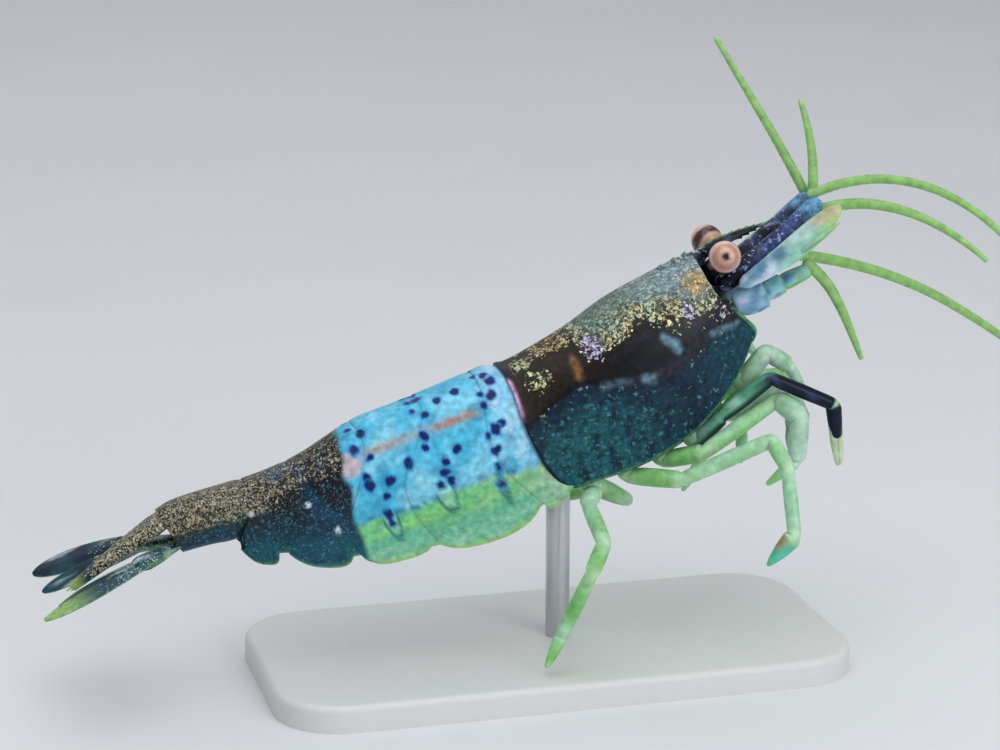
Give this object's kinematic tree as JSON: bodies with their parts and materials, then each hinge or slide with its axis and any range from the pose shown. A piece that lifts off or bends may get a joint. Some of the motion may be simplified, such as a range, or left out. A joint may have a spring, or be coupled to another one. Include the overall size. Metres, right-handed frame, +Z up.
{
  "type": "cherry shrimp",
  "caption": "Life-size still model of a blue rili cherry shrimp swimming nose up, held over a small flat base by one short rod.",
  "frame": {"origin": "centre of the underside of the display stand's base", "axes": "+X the way the shrimp swims, +Y its left side, +Z up; metres"},
  "size_m": [0.044, 0.012, 0.0232],
  "materials": {
    "carapace_shell": "smooth glossy living shell, navy-black speckled with gold and pale blue",
    "clear_shell": "translucent blue shell with dark dots",
    "dark_shell": "dark teal shell speckled with cream",
    "limb_shell": "translucent pale green cuticle",
    "eye_surface": "smooth wet cornea",
    "stand_plate": "satin",
    "stand_steel": "satin"
  },
  "bodies": {
    "root": {"antenna_base_L": "limb_shell", "antenna_base_R": "limb_shell", "antenna_feeler_L": "limb_shell", "antenna_feeler_R": "limb_shell", "antennal_scale_L": "limb_shell", "antennal_scale_R": "limb_shell", "antennule_base_L": "dark_shell", "antennule_base_R": "dark_shell", "antennule_inner_L": "limb_shell", "antennule_inner_R": "limb_shell", "antennule_outer_L": "limb_shell", "antennule_outer_R": "limb_shell", "breast": "limb_shell", "carapace": "carapace_shell", "eye_L": "eye_surface", "eye_R": "eye_surface", "leg_1_L": "limb_shell", "leg_1_R": "limb_shell", "leg_2_L": "limb_shell", "leg_2_R": "limb_shell", "leg_3_L": "limb_shell", "leg_3_R": "limb_shell", "leg_4_L": "limb_shell", "leg_4_R": "limb_shell", "leg_5_L": "limb_shell", "leg_5_R": "limb_shell", "maxilliped_L": "limb_shell", "maxilliped_R": "limb_shell", "mouthparts": "limb_shell", "pleopod_1_L": "limb_shell", "pleopod_1_R": "limb_shell", "pleopod_2_L": "limb_shell", "pleopod_2_R": "limb_shell", "pleopod_3_L": "limb_shell", "pleopod_3_R": "limb_shell", "pleopod_4_L": "limb_shell", "pleopod_4_R": "limb_shell", "pleopod_5_L": "limb_shell", "pleopod_5_R": "limb_shell", "rostrum": "carapace_shell", "somite_1": "clear_shell", "somite_2": "clear_shell", "somite_3": "clear_shell", "somite_4": "dark_shell", "somite_5": "dark_shell", "somite_6": "dark_shell", "stand_base": "stand_plate", "stand_rod": "stand_steel", "tail_inner_L": "dark_shell", "tail_inner_R": "dark_shell", "tail_outer_L": "dark_shell", "tail_outer_R": "dark_shell", "tail_stem_L": "dark_shell", "tail_stem_R": "dark_shell", "telson": "dark_shell"}
  },
  "joints": []
}
